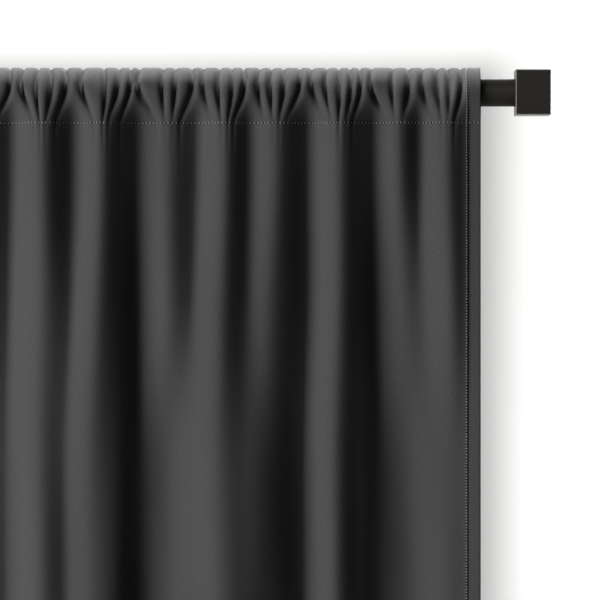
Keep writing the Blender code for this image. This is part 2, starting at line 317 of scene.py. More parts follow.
def settle(piece, matrix=None):  # moves the mesh, so that the object stays at the origin
    piece.data.transform((matrix or Matrix.Identity(4)) @ piece.matrix_world)
    piece.matrix_world = Matrix.Identity(4)
    return piece


def applyModifier(piece, kind, **settings):
    modifier = piece.modifiers.new(kind.title(), kind)
    for name, value in settings.items():
        setattr(modifier, name, value)
    pick(piece)
    bpy.ops.object.modifier_apply(modifier=modifier.name)


def cutWith(piece, cutter):
    applyModifier(piece, "BOOLEAN", operation="DIFFERENCE", solver="EXACT", object=cutter)
    bpy.data.objects.remove(cutter)


def pickEdges(piece, wanted):  # into edit mode with the edges selected whose two ends pass the test
    pick(piece)
    mesh = piece.data
    for part in (*mesh.vertices, *mesh.edges, *mesh.polygons):
        part.select = False
    for edge in mesh.edges:
        edge.select = wanted(*(mesh.vertices[i].co for i in edge.vertices))
    bpy.context.tool_settings.mesh_select_mode = (False, True, False)
    bpy.ops.object.mode_set(mode="EDIT")


def bevelEdges(piece, wanted, width, segments, profile=0.5):
    pickEdges(piece, wanted)
    bpy.ops.mesh.bevel(offset=width, segments=segments, profile=profile, affect="EDGES")
    bpy.ops.object.mode_set(mode="OBJECT")


def smoothSides(piece, degrees=32):
    pick(piece)
    bpy.ops.object.shade_smooth_by_angle(angle=math.radians(degrees))


def facesOut(piece, merge=0.002 * mm):
    pick(piece)
    bpy.ops.object.mode_set(mode="EDIT")
    bpy.ops.mesh.select_all(action="SELECT")
    bpy.ops.mesh.remove_doubles(threshold=merge)
    bpy.ops.mesh.normals_make_consistent(inside=False)
    bpy.ops.object.mode_set(mode="OBJECT")


# A profile of (along, radius) points, drawn up step by step from a circle and then laid along the X axis
def drawnOut(name, profile, sides=64, tube=False):
    pickNothing()
    along, radius = profile[0]
    fill = "NOTHING" if tube else "NGON"
    bpy.ops.mesh.primitive_circle_add(vertices=sides, radius=radius, fill_type=fill, location=(0, 0, along))
    piece = added(name)
    bpy.ops.object.mode_set(mode="EDIT")
    bpy.ops.mesh.select_all(action="SELECT")
    for nextAlong, nextRadius in profile[1:] + (profile[:1] if tube else []):
        move = {"value": (0, 0, nextAlong - along), "orient_type": "GLOBAL"}
        bpy.ops.mesh.extrude_region_move(TRANSFORM_OT_translate=move)
        share = nextRadius / radius
        bpy.ops.transform.resize(value=(share, share, share), center_override=(0, 0, nextAlong))
        along, radius = nextAlong, nextRadius
    bpy.ops.object.mode_set(mode="OBJECT")
    settle(piece, Matrix.Rotation(math.radians(90), 4, "Y"))
    facesOut(piece)
    return piece


def drill(piece, radius, depth, place, turn, sides=64):  # a round hole, cut from just outside the surface
    cutter = drawnOut("cutter", [(-0.01, radius), (depth, radius)], sides)
    cutWith(piece, settle(cutter, Matrix.Translation(place) @ turn))


def finished(piece, material, slot, body, *nodes):
    piece.data.materials.clear()
    piece.data.materials.append(material)
    if body:
        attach(piece, body)
    if nodes:
        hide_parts(*nodes)
    return piece


def radiusOf(node):
    low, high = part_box(node)
    return (high.z - low.z) / 2


def centreOf(node):
    low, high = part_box(node)
    return (low + high) / 2


def sideways(side):  # leaves +X alone on the right, and turns it to -X on the left
    return Matrix.Identity(4) if side > 0 else Matrix.Rotation(math.pi, 4, "Z")


alongRoom = Matrix.Rotation(math.radians(-90), 4, "Z")   # +X turned to -Y, towards the room
alongWall = Matrix.Rotation(math.radians(90), 4, "Z")    # +X turned to +Y, into the wall
upwards = Matrix.Rotation(math.radians(-90), 4, "Y")     # +X turned to +Z
onRod = Matrix.Translation((0, rodY, 0))


# The rod
tube = {"wall": 0.8 * mm, "lip": 0.25 * mm, "sides": 96}


def makeTube(name, body, material):
    low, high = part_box(name)
    radius = radiusOf(name)
    inside = radius - tube["wall"]
    lip = tube["lip"]
    profile = [
        (low.x, inside + lip),
        (low.x, radius - lip),
        (low.x + lip, radius),
        (high.x - lip, radius),
        (high.x, radius - lip),
        (high.x, inside + lip),
        (high.x - lip, inside),
        (low.x + lip, inside),
    ]
    piece = settle(drawnOut(f"{name}_finished", profile, tube["sides"], tube=True), onRod)
    smoothSides(piece)
    return finished(piece, material, "bronze_rod", body, name)


makeTube("rod_outer_tube", "root", rodLacquer)
makeTube("rod_inner_tube", "left_rod", rodLacquer)

bush = {"flange": 2 * mm, "play": 0.2 * mm, "lead": 0.5 * mm}


def makeBush():
    low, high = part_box("telescope_bush")
    flangeRadius = radiusOf("telescope_bush")
    skirtRadius = flangeRadius - tube["wall"] - bush["play"]
    bore = radiusOf("rod_inner_tube") + bush["play"]
    lead = bush["lead"]
    face = low.x + bush["flange"]
    profile = [
        (low.x, bore + lead),
        (low.x, flangeRadius - lead),
        (low.x + lead, flangeRadius),
        (face, flangeRadius),
        (face, skirtRadius),
        (high.x, skirtRadius),
        (high.x, bore),
        (low.x + lead, bore),
    ]
    piece = settle(drawnOut("telescope_bush_finished", profile, tube["sides"], tube=True), onRod)
    smoothSides(piece)
    finished(piece, blackPlastic, "black_plastic", "root", "telescope_bush")


makeBush()

glide = {"disc": 4 * mm, "ribs": 4, "ribDepth": 0.35 * mm, "edge": 0.4 * mm}


def makeGlide():
    low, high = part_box("inner_tube_glide")
    discRadius = radiusOf("inner_tube_glide")
    spigot = radiusOf("rod_inner_tube") - tube["wall"] - bush["play"]
    edge = glide["edge"]
    discStart = high.x - glide["disc"]
    step = (discStart - low.x) / (2 * glide["ribs"] + 1)
    profile = [(low.x, spigot - edge)]
    for rib in range(glide["ribs"]):
        start = low.x + (2 * rib + 1) * step
        profile += [(start, spigot), (start + step, spigot), (start + 1.2 * step, spigot - glide["ribDepth"])]
    profile += [
        (discStart, spigot - glide["ribDepth"]),
        (discStart, discRadius - edge),
        (discStart + edge, discRadius),
        (high.x - edge, discRadius),
        (high.x, discRadius - edge),
    ]
    piece = settle(drawnOut("inner_tube_glide_finished", profile), onRod)
    smoothSides(piece)
    finished(piece, blackPlastic, "black_plastic", "left_rod", "inner_tube_glide")


makeGlide()
print("rod made")


# The end sets: block, plug, arm, plate and their screws
block = {
    "bevel": 1.1 * mm,
    "socketPlay": 0.3 * mm,
    "armRadius": 6 * mm,
    "armDepth": 12.3 * mm,
    "rodGrub": 2.5 * mm,
    "armGrub": 2.0 * mm,
}


def makeBlock(word, side, body, tubeNode):
    name = f"finial_{word}"
    low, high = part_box(name)
    size = high - low
    pickNothing()
    bpy.ops.mesh.primitive_cube_add(size=1, location=centreOf(name), scale=size)
    piece = settle(added(f"{name}_finished"))
    bevelEdges(piece, lambda first, second: True, block["bevel"], 4, 0.6)

    play = block["socketPlay"]
    socket = radiusOf(tubeNode) + play
    inner = low.x if side > 0 else high.x
    plugLow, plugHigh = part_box(f"rod_plug_{word}")
    depth = (plugHigh.x - inner if side > 0 else inner - plugLow.x) + play
    drill(piece, socket, depth, (inner, rodY, 0), sideways(side))
    armX = centreOf(f"bracket_arm_{word}").x
    drill(piece, block["armRadius"] + play, block["armDepth"], (armX, high.y, 0), alongRoom)
    grubX = centreOf(f"rod_grub_screw_{word}").x
    depth = size.y / 2 - socket + 2 * mm
    drill(piece, block["rodGrub"] + play, depth, (grubX, high.y, 0), alongRoom, 32)
    grubY = centreOf(f"arm_grub_screw_{word}").y
    depth = size.z / 2 - block["armRadius"] + 1 * mm
    drill(piece, block["armGrub"] + play, depth, (armX, grubY, low.z), upwards, 32)
    smoothSides(piece, 28)
    applyModifier(piece, "WEIGHTED_NORMAL", keep_sharp=True, weight=90)
    finished(piece, blockLacquer, "bronze_block", body, name)


plug = {"flange": 1.5 * mm, "fins": 5, "finDepth": 0.3 * mm, "edge": 0.2 * mm}


def makePlug(word, side, body):
    name = f"rod_plug_{word}"
    low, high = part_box(name)
    flangeRadius = radiusOf(name)
    core = flangeRadius - tube["wall"] - bush["play"]
    length = high.x - low.x
    run = length - plug["flange"]
    step = run / (2 * plug["fins"])
    edge = plug["edge"]
    profile = [(0, core - 2 * plug["finDepth"])]
    for fin in range(plug["fins"]):
        start = (2 * fin + 0.6) * step
        profile += [(start, core), (start + step, core), (start + 1.2 * step, core - plug["finDepth"])]
    profile += [(run, core - plug["finDepth"]), (run, flangeRadius - edge), (run + edge, flangeRadius)]
    profile += [(length - edge, flangeRadius), (length, flangeRadius - edge)]
    piece = drawnOut(f"{name}_finished", profile)
    start = low.x if side > 0 else high.x
    settle(piece, Matrix.Translation((start, rodY, 0)) @ sideways(side))
    smoothSides(piece)
    finished(piece, blackPlastic, "black_plastic", body, name)


arm = {"radius": 6 * mm, "collar": 3 * mm, "edge": 0.5 * mm, "fillet": 1.2 * mm, "threadHole": 2.7 * mm}


def makeArm(word, body):
    name = f"bracket_arm_{word}"
    low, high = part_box(name)
    radius, edge, fillet = arm["radius"], arm["edge"], arm["fillet"]
    collarRadius = radiusOf(name)
    length = high.y - low.y
    profile = [(0, collarRadius - 0.2 * mm), (0.2 * mm, collarRadius)]
    for step in range(5):   # the collar's rounded rim
        angle = math.radians(22.5 * step)
        rim = arm["collar"] - edge + edge * math.sin(angle)
        profile.append((rim, collarRadius - edge * (1 - math.cos(angle))))
    for step in range(1, 5):   # a small fillet at the foot of the bar
        angle = math.radians(22.5 * step)
        foot = arm["collar"] + fillet * (1 - math.cos(angle))
        profile.append((foot, radius + fillet * (1 - math.sin(angle))))
    profile += [(length - edge, radius), (length, radius - edge)]
    piece = drawnOut(f"{name}_finished", profile, 72)
    place = ((low.x + high.x) / 2, high.y, 0)
    settle(piece, Matrix.Translation(place) @ alongRoom)
    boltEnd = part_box(f"arm_bolt_{word}")[0].y
    drill(piece, arm["threadHole"], high.y - boltEnd + 0.3 * mm, place, alongRoom, 32)
    smoothSides(piece)
    finished(piece, bracketCoat, "bronze_bracket", body, name)


plate = {
    "corner": 5 * mm,
    "edge": 0.6 * mm,
    "play": 0.3 * mm,
    "bolt": (4.8 * mm, 2.4 * mm),    # the heads' and shanks' radii
    "screw": (3.6 * mm, 2.0 * mm),
}


def countersink(piece, radii, place, turn):
    headRadius, shankRadius = (radius + plate["play"] for radius in radii)
    depth = headRadius - shankRadius
    profile = [(-0.01, headRadius), (0, headRadius), (depth, shankRadius), (0.012, shankRadius)]
    cutWith(piece, settle(drawnOut("cutter", profile, 48), Matrix.Translation(place) @ turn))


def makePlate(word, body):
    name = f"wall_plate_{word}"
    low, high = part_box(name)
    centre = (low + high) / 2
    pickNothing()
    bpy.ops.mesh.primitive_cube_add(size=1, location=centre, scale=high - low)
    piece = settle(added(f"{name}_finished"))
    bevelEdges(piece, lambda first, second: abs((first - second).normalized().y) > 0.9, plate["corner"], 8)
    bevelEdges(piece, lambda first, second: max(first.y, second.y) < low.y + 0.01 * mm, plate["edge"], 3)
    countersink(piece, plate["bolt"], (centre.x, high.y - plate["play"], 0), alongRoom)
    for level in ("upper", "lower"):
        node = f"wall_screw_{word}_{level}"
        place = (centre.x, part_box(node)[0].y, centreOf(node).z)
        countersink(piece, plate["screw"], place, alongWall)
    smoothSides(piece, 35)
    applyModifier(piece, "WEIGHTED_NORMAL", keep_sharp=True)
    finished(piece, bracketCoat, "bronze_bracket", body, name)


screw = {"thread": 0.35 * mm, "tip": 5 * mm, "recess": 0.9 * mm, "recessDepth": 1.6 * mm, "rim": 0.15 * mm}


def screwHead(headRadius, radius):
    rim = screw["rim"]
    return [(0, headRadius - rim), (rim, headRadius), (0.35 * mm, headRadius), (headRadius - radius, radius)]


def threaded(start, end, radius, pitch):  # thread turns as rings, from one place to another
    profile = []
    root = radius - screw["thread"]
    for turn in range(max(1, int((end - start) / pitch))):
        place = start + turn * pitch
        profile += [(place, root), (place + 0.35 * pitch, radius), (place + 0.5 * pitch, radius)]
        profile.append((place + 0.8 * pitch, root))
    return profile


# Turned by its degrees, a cross is sunk as deep as the recess is and as far across as twice the reach
def crossRecess(piece, place, degrees, reach):
    matrix = place @ Matrix.Rotation(math.radians(degrees), 4, "X")
    for wide, tall in ((screw["recess"], 2 * reach), (2 * reach, screw["recess"])):
        pickNothing()
        bpy.ops.mesh.primitive_cube_add(size=1, scale=(2 * screw["recessDepth"], wide, tall))
        cutWith(piece, settle(added("cutter"), matrix))


def makeWallScrew(word, level, body):
    name = f"wall_screw_{word}_{level}"
    low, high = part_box(name)
    radius = plate["screw"][1]
    length = high.y - low.y
    profile = screwHead(radiusOf(name), radius)
    profile += threaded(profile[-1][0] + 3 * mm, length - screw["tip"], radius, 1.5 * mm)
    profile += [(length - screw["tip"], radius - screw["thread"]), (length, 0.3 * mm)]
    piece = drawnOut(f"{name}_finished", profile, 32)
    place = Matrix.Translation(((low.x + high.x) / 2, low.y, (low.z + high.z) / 2)) @ alongWall
    settle(piece, place)
    crossRecess(piece, place, 24 if level == "upper" else 61, 1.9 * mm)
    smoothSides(piece)
    finished(piece, zincSteel, "screw_steel", body, name)


def makeArmBolt(word, body):
    name = f"arm_bolt_{word}"
    low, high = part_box(name)
    radius = plate["bolt"][1]
    length = high.y - low.y
    profile = screwHead(radiusOf(name), radius)
    profile += threaded(profile[-1][0] + 0.4 * mm, length - 1 * mm, radius, 0.8 * mm)
    profile += [(length, radius - 2 * screw["thread"])]
    piece = drawnOut(f"{name}_finished", profile, 32)
    place = Matrix.Translation(((low.x + high.x) / 2, high.y, (low.z + high.z) / 2)) @ alongRoom
    settle(piece, place)
    crossRecess(piece, place, 33, 2.4 * mm)
    smoothSides(piece)
    finished(piece, zincSteel, "screw_steel", body, name)


grub = {"edge": 0.3 * mm, "key": 0.55, "keyDepth": 2 * mm}


def makeGrub(name, body, turn, start, length, radius):
    edge = grub["edge"]
    profile = [(0, radius - edge), (edge, radius)]
    profile += threaded(edge + 0.2 * mm, length - 3 * edge, radius, 0.7 * mm)
    profile += [(length - edge, radius - screw["thread"]), (length, radius - 2 * edge)]
    piece = settle(drawnOut(f"{name}_finished", profile, 32), Matrix.Translation(start) @ turn)
    drill(piece, radius * grub["key"], grub["keyDepth"], start, turn, 6)
    smoothSides(piece)
    finished(piece, zincSteel, "screw_steel", body, name)


def makeGrubs(word, body):
    low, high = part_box(f"rod_grub_screw_{word}")
    start = ((low.x + high.x) / 2, high.y, (low.z + high.z) / 2)
    makeGrub(f"rod_grub_screw_{word}", body, alongRoom, start, high.y - low.y, (high.z - low.z) / 2)
    low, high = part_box(f"arm_grub_screw_{word}")
    start = ((low.x + high.x) / 2, (low.y + high.y) / 2, low.z)
    makeGrub(f"arm_grub_screw_{word}", body, upwards, start, high.z - low.z, (high.x - low.x) / 2)


for word, side, body, tubeNode in (
    ("right", 1, "root", "rod_outer_tube"),
    ("left", -1, "left_rod", "rod_inner_tube"),
):
    makeBlock(word, side, body, tubeNode)
    makePlug(word, side, body)
    makeArm(word, body)
    makePlate(word, body)
    makeArmBolt(word, body)
    makeGrubs(word, body)
    for level in ("upper", "lower"):
        makeWallScrew(word, level, body)
print("end sets made")


# The cloth
cloth = {
    "flatWidth": 0.864,
    "flatLength": 1.600,
    "thickness": 0.9 * mm,
    "columns": 556,
    "backRows": 10,
    "frontRows": 18,
    "dropRows": 55,
    "seamForward": 9 * mm,       # the pocket's seam hangs a little in front of the rod's axis
    "loopFront": 21.5 * mm,      # how far the pocket reaches in front of the rod's axis and behind it
    "loopBack": 18 * mm,
    "gatherTop": 2.6 * mm,       # how deep the gathers are over the rod, in front of it and behind it
    "gatherFront": 8.2 * mm,
    "gatherBack": 4.0 * mm,
    "gatherSeam": 2.0 * mm,
    "gatherFade": 14 * mm,       # how soon they end below the seam
    "rodClear": 1.2 * mm,
    "dipSharpness": 0.75,        # how sharply the folds turn at their backs
    "foldSoftness": 3.2 * mm,
    "hemStep": 0.8 * mm,
    "bottomHem": 76 * mm,
}

# The lines that the folds follow down a panel, in mm: each line's distance from the outer edge and how far it
# stands towards the room just below the seam, then the same two a hand's width down, and then from there on
foldLines = [
    (0, 9, 0, 9, 0, 6),
    (13, 7, 13, 7, 13, 2),
    (31, 14, 28, 12, 26, -1),
    (55, -3, 53, -8, 48, -10),
    (76, 8, 71, -10, 68, -19),
    (96, -8, 95, -21, 90, -19),
    (111, 1, 111, -7, 110, -5),
    (131, 11, 132, 6, 137, 6),
    (157, -13, 157, -19, 160, -17),
    (190, 5, 198, 3, 188, 0),
    (212, -8, 214, 0, 214, 12),
    (236, 6, 239, 13, 243, 17),
    (260, -12, 264, 0, 268, 1),
    (288, -1, 289, 5, 293, -13),
    (315, -14, 315, -13, 314, -14),
    (331, -2, 333, 6, 335, 7),
    (349, 9, 353, 16, 357, 15),
    (375, -9, 376, 1, 382, 5),
    (404, 9, 406, 13, 408, 10),
    (432, -10, 434, -13, 436, -16),
    (462, 5, 462, -2, 462, -10),
    (490, -12, 490, -8, 492, -4),
    (520, 10, 519, 15, 518, 18),
    (548, -6, 550, -12, 553, -16),
    (574, 8, 577, 8, 580, 5),
    (601, 5, 601, 6, 601, 4),
    (614, 7, 614, 8, 614, 6),
]
settling = {"upper": (20, 190), "lower": (150, 330)}   # where the folds change, in mm below the seam

# The gathers' places from the outer edge of the right panel, in mm, as far in as they were chosen one by one
gatherPlaces = [18, 30, 39, 52, 66, 80, 100, 111, 120, 130, 141, 155, 166, 181, 192, 203, 218, 229, 240]
gatherPlaces += [255, 266, 281, 292, 314, 322, 333, 347, 366, 382]


def smooth(low, high, value):
    t = np.clip((value - low) / (high - low), 0, 1)
    return t * t * (3 - 2 * t)


def softMax(first, second, width=1.0 * mm):
    return 0.5 * (first + second + np.sqrt((first - second) ** 2 + width * width))


def curved(t, first, leaving, last, arriving):  # from first to last as t goes 0 to 1, given the slopes
    start = (1 + 2 * t) * (1 - t) ** 2 * first + t * (1 - t) ** 2 * leaving
    return start + t * t * (3 - 2 * t) * last + t * t * (t - 1) * arriving


def through(places, depths, s):  # a smooth curve through the fold lines at one height, sharper in the dips
    secants = np.diff(depths) / np.diff(places)
    slopes = np.gradient(depths, places)
    before, after = slopes.copy(), slopes.copy()
    sunk = np.minimum(depths[:-2] - depths[1:-1], depths[2:] - depths[1:-1])
    sharp = cloth["dipSharpness"] * smooth(0, 4 * mm, sunk)
    before[1:-1] += sharp * (secants[:-1] - slopes[1:-1])
    after[1:-1] += sharp * (secants[1:] - slopes[1:-1])
    i = np.clip(np.searchsorted(places, s) - 1, 0, len(places) - 2)
    span = places[i + 1] - places[i]
    t = (s - places[i]) / span
    return curved(t, depths[i], span * after[i], depths[i + 1], span * before[i + 1])


class Panel:  # where a panel's cloth hangs, by s, the gathered distance from its outer edge
    def __init__(self, word, side, lines, gathers, seed):
        self.word = word
        self.side = side
        self.lines = np.array(lines, float) * mm
        chance = random.Random(seed)
        self.waves = []
        for wave in range(7):
            size, wide = chance.uniform(0.2, 0.55) * mm, chance.uniform(45, 130) * mm
            tall = chance.uniform(250, 700) * mm * chance.choice((-1, 1))
            self.waves.append((size, wide, tall, chance.uniform(0, math.tau)))
        crests = []
        for before, line, after in zip(lines, lines[1:], lines[2:]):
            if line[1] > max(before[1], after[1]):
                crests.append(line[0])
        self.gathers = []
        for place in gathers:
            away = min((place - crest for crest in crests), key=abs)
            seamPlace = place - away * chance.uniform(0.3, 0.55)
            bulge = math.copysign(chance.uniform(0.4, 2.0), away)
            width, depth = chance.uniform(1.9, 3.1), chance.uniform(0.7, 1.1)
            fade = chance.uniform(0.2, 0.9)
            self.gathers.append((place * mm, seamPlace * mm, bulge * mm, width * mm, depth, fade))

    def ripple(self, s, z):
        total = 0
        for size, wide, tall, turn in self.waves:
            total = total + size * np.sin(math.tau * (s / wide + z / tall) + turn)
        return total

    def forward(self, s, z):  # towards the room from the seam's hanging line
        fall = (seamZ - z) / mm
        upper, lower = smooth(*settling["upper"], fall), smooth(*settling["lower"], fall)
        share = np.array([(1 - upper) * (1 - lower), upper * (1 - lower), lower])
        places = self.lines[:, 0::2] @ share
        depths = self.lines[:, 1::2] @ share
        free = smooth(10 * mm, 40 * mm, s) * smooth(10 * mm, 40 * mm, panelWidth - s)
        below = smooth(0, 0.15, seamZ - z)
        fromEdge = np.minimum(s, panelWidth - s)
        step = cloth["hemStep"] * smooth(-0.6 * mm, 0.6 * mm, fromEdge - sideHem + stitch["fromHem"])
        soft = cloth["foldSoftness"]
        shifted = [np.clip(s + shift, 0, panelWidth) for shift in (-soft, 0, soft)]
        folds = sum(through(places, depths, place) for place in shifted) / 3
        return folds + step + self.ripple(s, z) * free * (0.2 + 0.8 * below)

    def grooves(self, s, q):  # the gathers' depth, 0 to 1: q is 0 on top of the pocket, 1 at its seam
        total = np.zeros_like(s)
        belly = math.sin(math.pi * min(abs(q), 1))
        for place, seamPlace, bulge, width, depth, fade in self.gathers:
            centre = place + (seamPlace - place) * smooth(0.3, 1.1, q) * 1.2 + bulge * belly
            wide = width * (0.6 + 0.4 * belly)
            strength = depth * (1 - (1 - fade) * smooth(0.55, 0.95, abs(q)))
            total = total + strength * np.exp(-np.abs((s - centre) / wide) ** 1.4)
        flat = smooth(11 * mm, 16 * mm, s) * smooth(11 * mm, 16 * mm, panelWidth - s)
        return np.minimum(total, 1.15) * flat

    def loop(self, q):  # the pocket's outline as (forward, z)
        front = q >= 0
        top = topZ - cloth["thickness"] / 2
        first = cloth["loopFront"] if front else -cloth["loopBack"]
        amount = abs(q)
        if amount <= 0.5:
            angle = amount * math.pi
            return first * math.sin(angle), top * math.cos(angle)
        t = (amount - 0.5) * 2
        end = cloth["seamForward"] if front else cloth["seamForward"] - 1.2 * cloth["thickness"]
        return curved(t, first, 0, end, end - first), curved(t, 0, 1.2 * seamZ, seamZ, seamZ)

    def pocketRow(self, s, q):
        forward, height = self.loop(q)
        aheadForward, aheadHeight = self.loop(min(q + 0.01, 1))
        behindForward, behindHeight = self.loop(max(q - 0.01, -1))
        along = Vector((aheadForward - behindForward, aheadHeight - behindHeight)).normalized()
        outForward, outHeight = -along.y, along.x
        places = [-1, -0.8, -0.5, 0, 0.10, 0.30, 0.72, 1]
        back, top, front, seam = (cloth[f"gather{part}"] for part in ("Back", "Top", "Front", "Seam"))
        depth = np.interp(q, places, [0, back / 2, back, top, 0.95 * front, 1.1 * front, 0.8 * front, seam])
        inward = depth * self.grooves(s, q)
        share = smooth(0.3, 1.0, q) if q > 0 else smooth(0.5, 1.0, -q)
        forward = forward - outForward * inward + self.forward(s, seamZ) * share
        height = height - outHeight * inward
        clear = rodRadius + cloth["rodClear"]   # the cloth rests on the rod and doesn't pass into it
        reach = np.sqrt(np.maximum(clear ** 2 - height ** 2, 0))
        held = softMax(forward, reach) if q > 0 else -softMax(-forward, reach)
        return np.where(np.abs(height) < clear, held, forward) if abs(q) < 0.97 else forward, height

    def dropRow(self, s, z):
        puckers = cloth["gatherSeam"] * math.exp((z - seamZ) / cloth["gatherFade"]) * self.grooves(s, 1.0)
        return cloth["seamForward"] + self.forward(s, z) - puckers, np.full_like(s, z)

    def points(self, s, rows):  # a grid of places, a row for each ("pocket", q) or ("drop", z)
        grid = np.zeros((len(rows), len(s), 3))
        for line, (part, value) in zip(grid, rows):
            forward, height = self.pocketRow(s, value) if part == "pocket" else self.dropRow(s, value)
            line[:, 0] = self.side * (outerEdge - s)
            line[:, 1] = rodY - forward
            line[:, 2] = height
        return grid


def unit(vectors):
    return vectors / np.linalg.norm(vectors, axis=-1, keepdims=True)


def outward(grid, side):  # each grid point's unit normal, on the room's side of the drop
    return unit(np.cross(np.gradient(grid, axis=1), np.gradient(grid, axis=0)) * side)


def dropHeights(count, first, last):  # rows that lie closer together near the seam
    share = np.linspace(0, 1, count + 1)
    return first + (last - first) * (0.18 * share + 0.82 * share ** 1.7)


pocketRows = [("pocket", q) for q in np.linspace(-1, 0, cloth["backRows"] + 1)[:-1]]
pocketRows += [("pocket", q) for q in np.linspace(0, 1, cloth["frontRows"] + 1)]
dropRows = [("drop", z) for z in dropHeights(cloth["dropRows"], seamZ, bottomZ)[1:]]


# A grid primitive is bent into the given places and given its thickness
def sheetMesh(name, grid, flatU, flatV, thickness, offset=0.0):
    rows, columns = grid.shape[:2]
    pickNothing()
    bpy.ops.mesh.primitive_grid_add(x_subdivisions=columns - 1, y_subdivisions=rows - 1, size=1)
    piece = added(name)
    piece.data.vertices.foreach_set("co", grid.reshape(-1, 3).astype(np.float32).ravel())
    layer = piece.data.uv_layers[0]
    layer.name = "flatCloth"
    corners = np.empty(len(piece.data.loops), np.int32)
    piece.data.loops.foreach_get("vertex_index", corners)
    flat = np.stack([np.tile(flatU, rows), np.repeat(flatV, columns)], axis=1)
    layer.data.foreach_set("uv", flat[corners].astype(np.float32).ravel())
    piece.data.update()
    facesOut(piece, 0.0001 * mm)
    if thickness:
        applyModifier(piece, "SOLIDIFY", thickness=thickness, offset=offset, use_even_offset=False)
    pick(piece)
    bpy.ops.object.shade_smooth()
    return piece


def lengthAlong(points):
    return np.concatenate([[0], np.cumsum(np.linalg.norm(np.diff(points, axis=0), axis=1))])


# One stitch: a short flattened loop of thread along X, and after it a near-black disc of painted shade where
# the needle hole is
stitch = {
    "length": 1.5 * mm,
    "pitch": 2.7 * mm,
    "seamPitch": 3.85 * mm,      # along the cloth, which the gathers then draw closer together
    "width": 1.5 * mm,
    "height": 1.0 * mm,
    "slant": 24,
    "hole": 0.7 * mm,
    "fromHem": 0.7 * mm,         # how far in from the side hems' edges, and down from the bottom hem's
    "fromFold": 3 * mm,
    "proud": 0.12 * mm,
}


def makeStitchShape():
    pickNothing()
    bpy.ops.mesh.primitive_uv_sphere_add(segments=6, ring_count=4, radius=0.5, rotation=(0, math.pi / 2, 0))
    shape = settle(added("stitchShape"))
    pick(shape)
    bpy.ops.object.mode_set(mode="EDIT")
    bpy.ops.mesh.select_all(action="SELECT")
    size = (stitch["length"], stitch["width"], stitch["height"])
    bpy.ops.transform.resize(value=size, center_override=(0, 0, 0))
    turn = math.radians(stitch["slant"])
    bpy.ops.transform.rotate(value=turn, orient_axis="Z", center_override=(0, 0, 0))
    bpy.ops.mesh.select_all(action="DESELECT")
    place = (stitch["pitch"] / 2, 0, 0.05 * mm)
    # a thin raised disc after the stitch, to carry the needle hole's painted shade
    bpy.ops.mesh.primitive_circle_add(vertices=8, radius=stitch["hole"], fill_type="NGON", location=place)
    raised = {"value": (0, 0, 0.1 * mm), "orient_type": "GLOBAL"}
    bpy.ops.mesh.extrude_region_move(TRANSFORM_OT_translate=raised)
    bpy.ops.object.mode_set(mode="OBJECT")
    facesOut(shape, 0.0001 * mm)
    points = np.array([vertex.co for vertex in shape.data.vertices])
    faces = [tuple(polygon.vertices) for polygon in shape.data.polygons]
    shadeFaces = [int(abs(polygon.center.x - place[0]) < stitch["hole"] * 1.1) for polygon in shape.data.polygons]
    bpy.data.objects.remove(shape)
    return points, faces, shadeFaces


stitchPoints, stitchFaces, holeShadeFaces = makeStitchShape()


# Copies of the stitch along a row of surface points, sunk half into the cloth
def stitchRow(name, line, normals, pitch):
    run = lengthAlong(line)
    count = int(run[-1] / pitch)
    places = (np.arange(count) + 0.4) * run[-1] / count

    def at(where, values):
        return np.stack([np.interp(where, run, values[:, axis]) for axis in range(3)], axis=1)

    centres, out = at(places, line), unit(at(places, normals))
    along = unit(at(places + 0.5 * mm, line) - at(places - 0.5 * mm, line))
    beside = np.cross(out, along)
    points = (
        centres[:, None]
        + stitchPoints[None, :, :1] * along[:, None]
        + stitchPoints[None, :, 1:2] * beside[:, None]
        + stitchPoints[None, :, 2:] * out[:, None]
    )
    size = len(stitchPoints)
    faces = [tuple(i + copy * size for i in face) for copy in range(count) for face in stitchFaces]
    mesh = bpy.data.meshes.new(name)
    mesh.from_pydata(points.reshape(-1, 3).tolist(), [], faces)
    piece = bpy.data.objects.new(name, mesh)
    bpy.context.scene.collection.objects.link(piece)
    pick(piece)
    bpy.ops.object.shade_smooth()
    return piece


# gives the hole discs the painted shade colour
def applyHoleShade(piece):
    piece.data.materials.append(paintedHoleShade)
    count = len(piece.data.polygons) // len(holeShadeFaces)
    piece.data.polygons.foreach_set("material_index", np.tile(holeShadeFaces, count))


def bends(piece, material):  # gives the piece its material and bakes its place into its mesh
    finished(piece, material, "charcoal_cloth", None)
    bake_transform(piece)


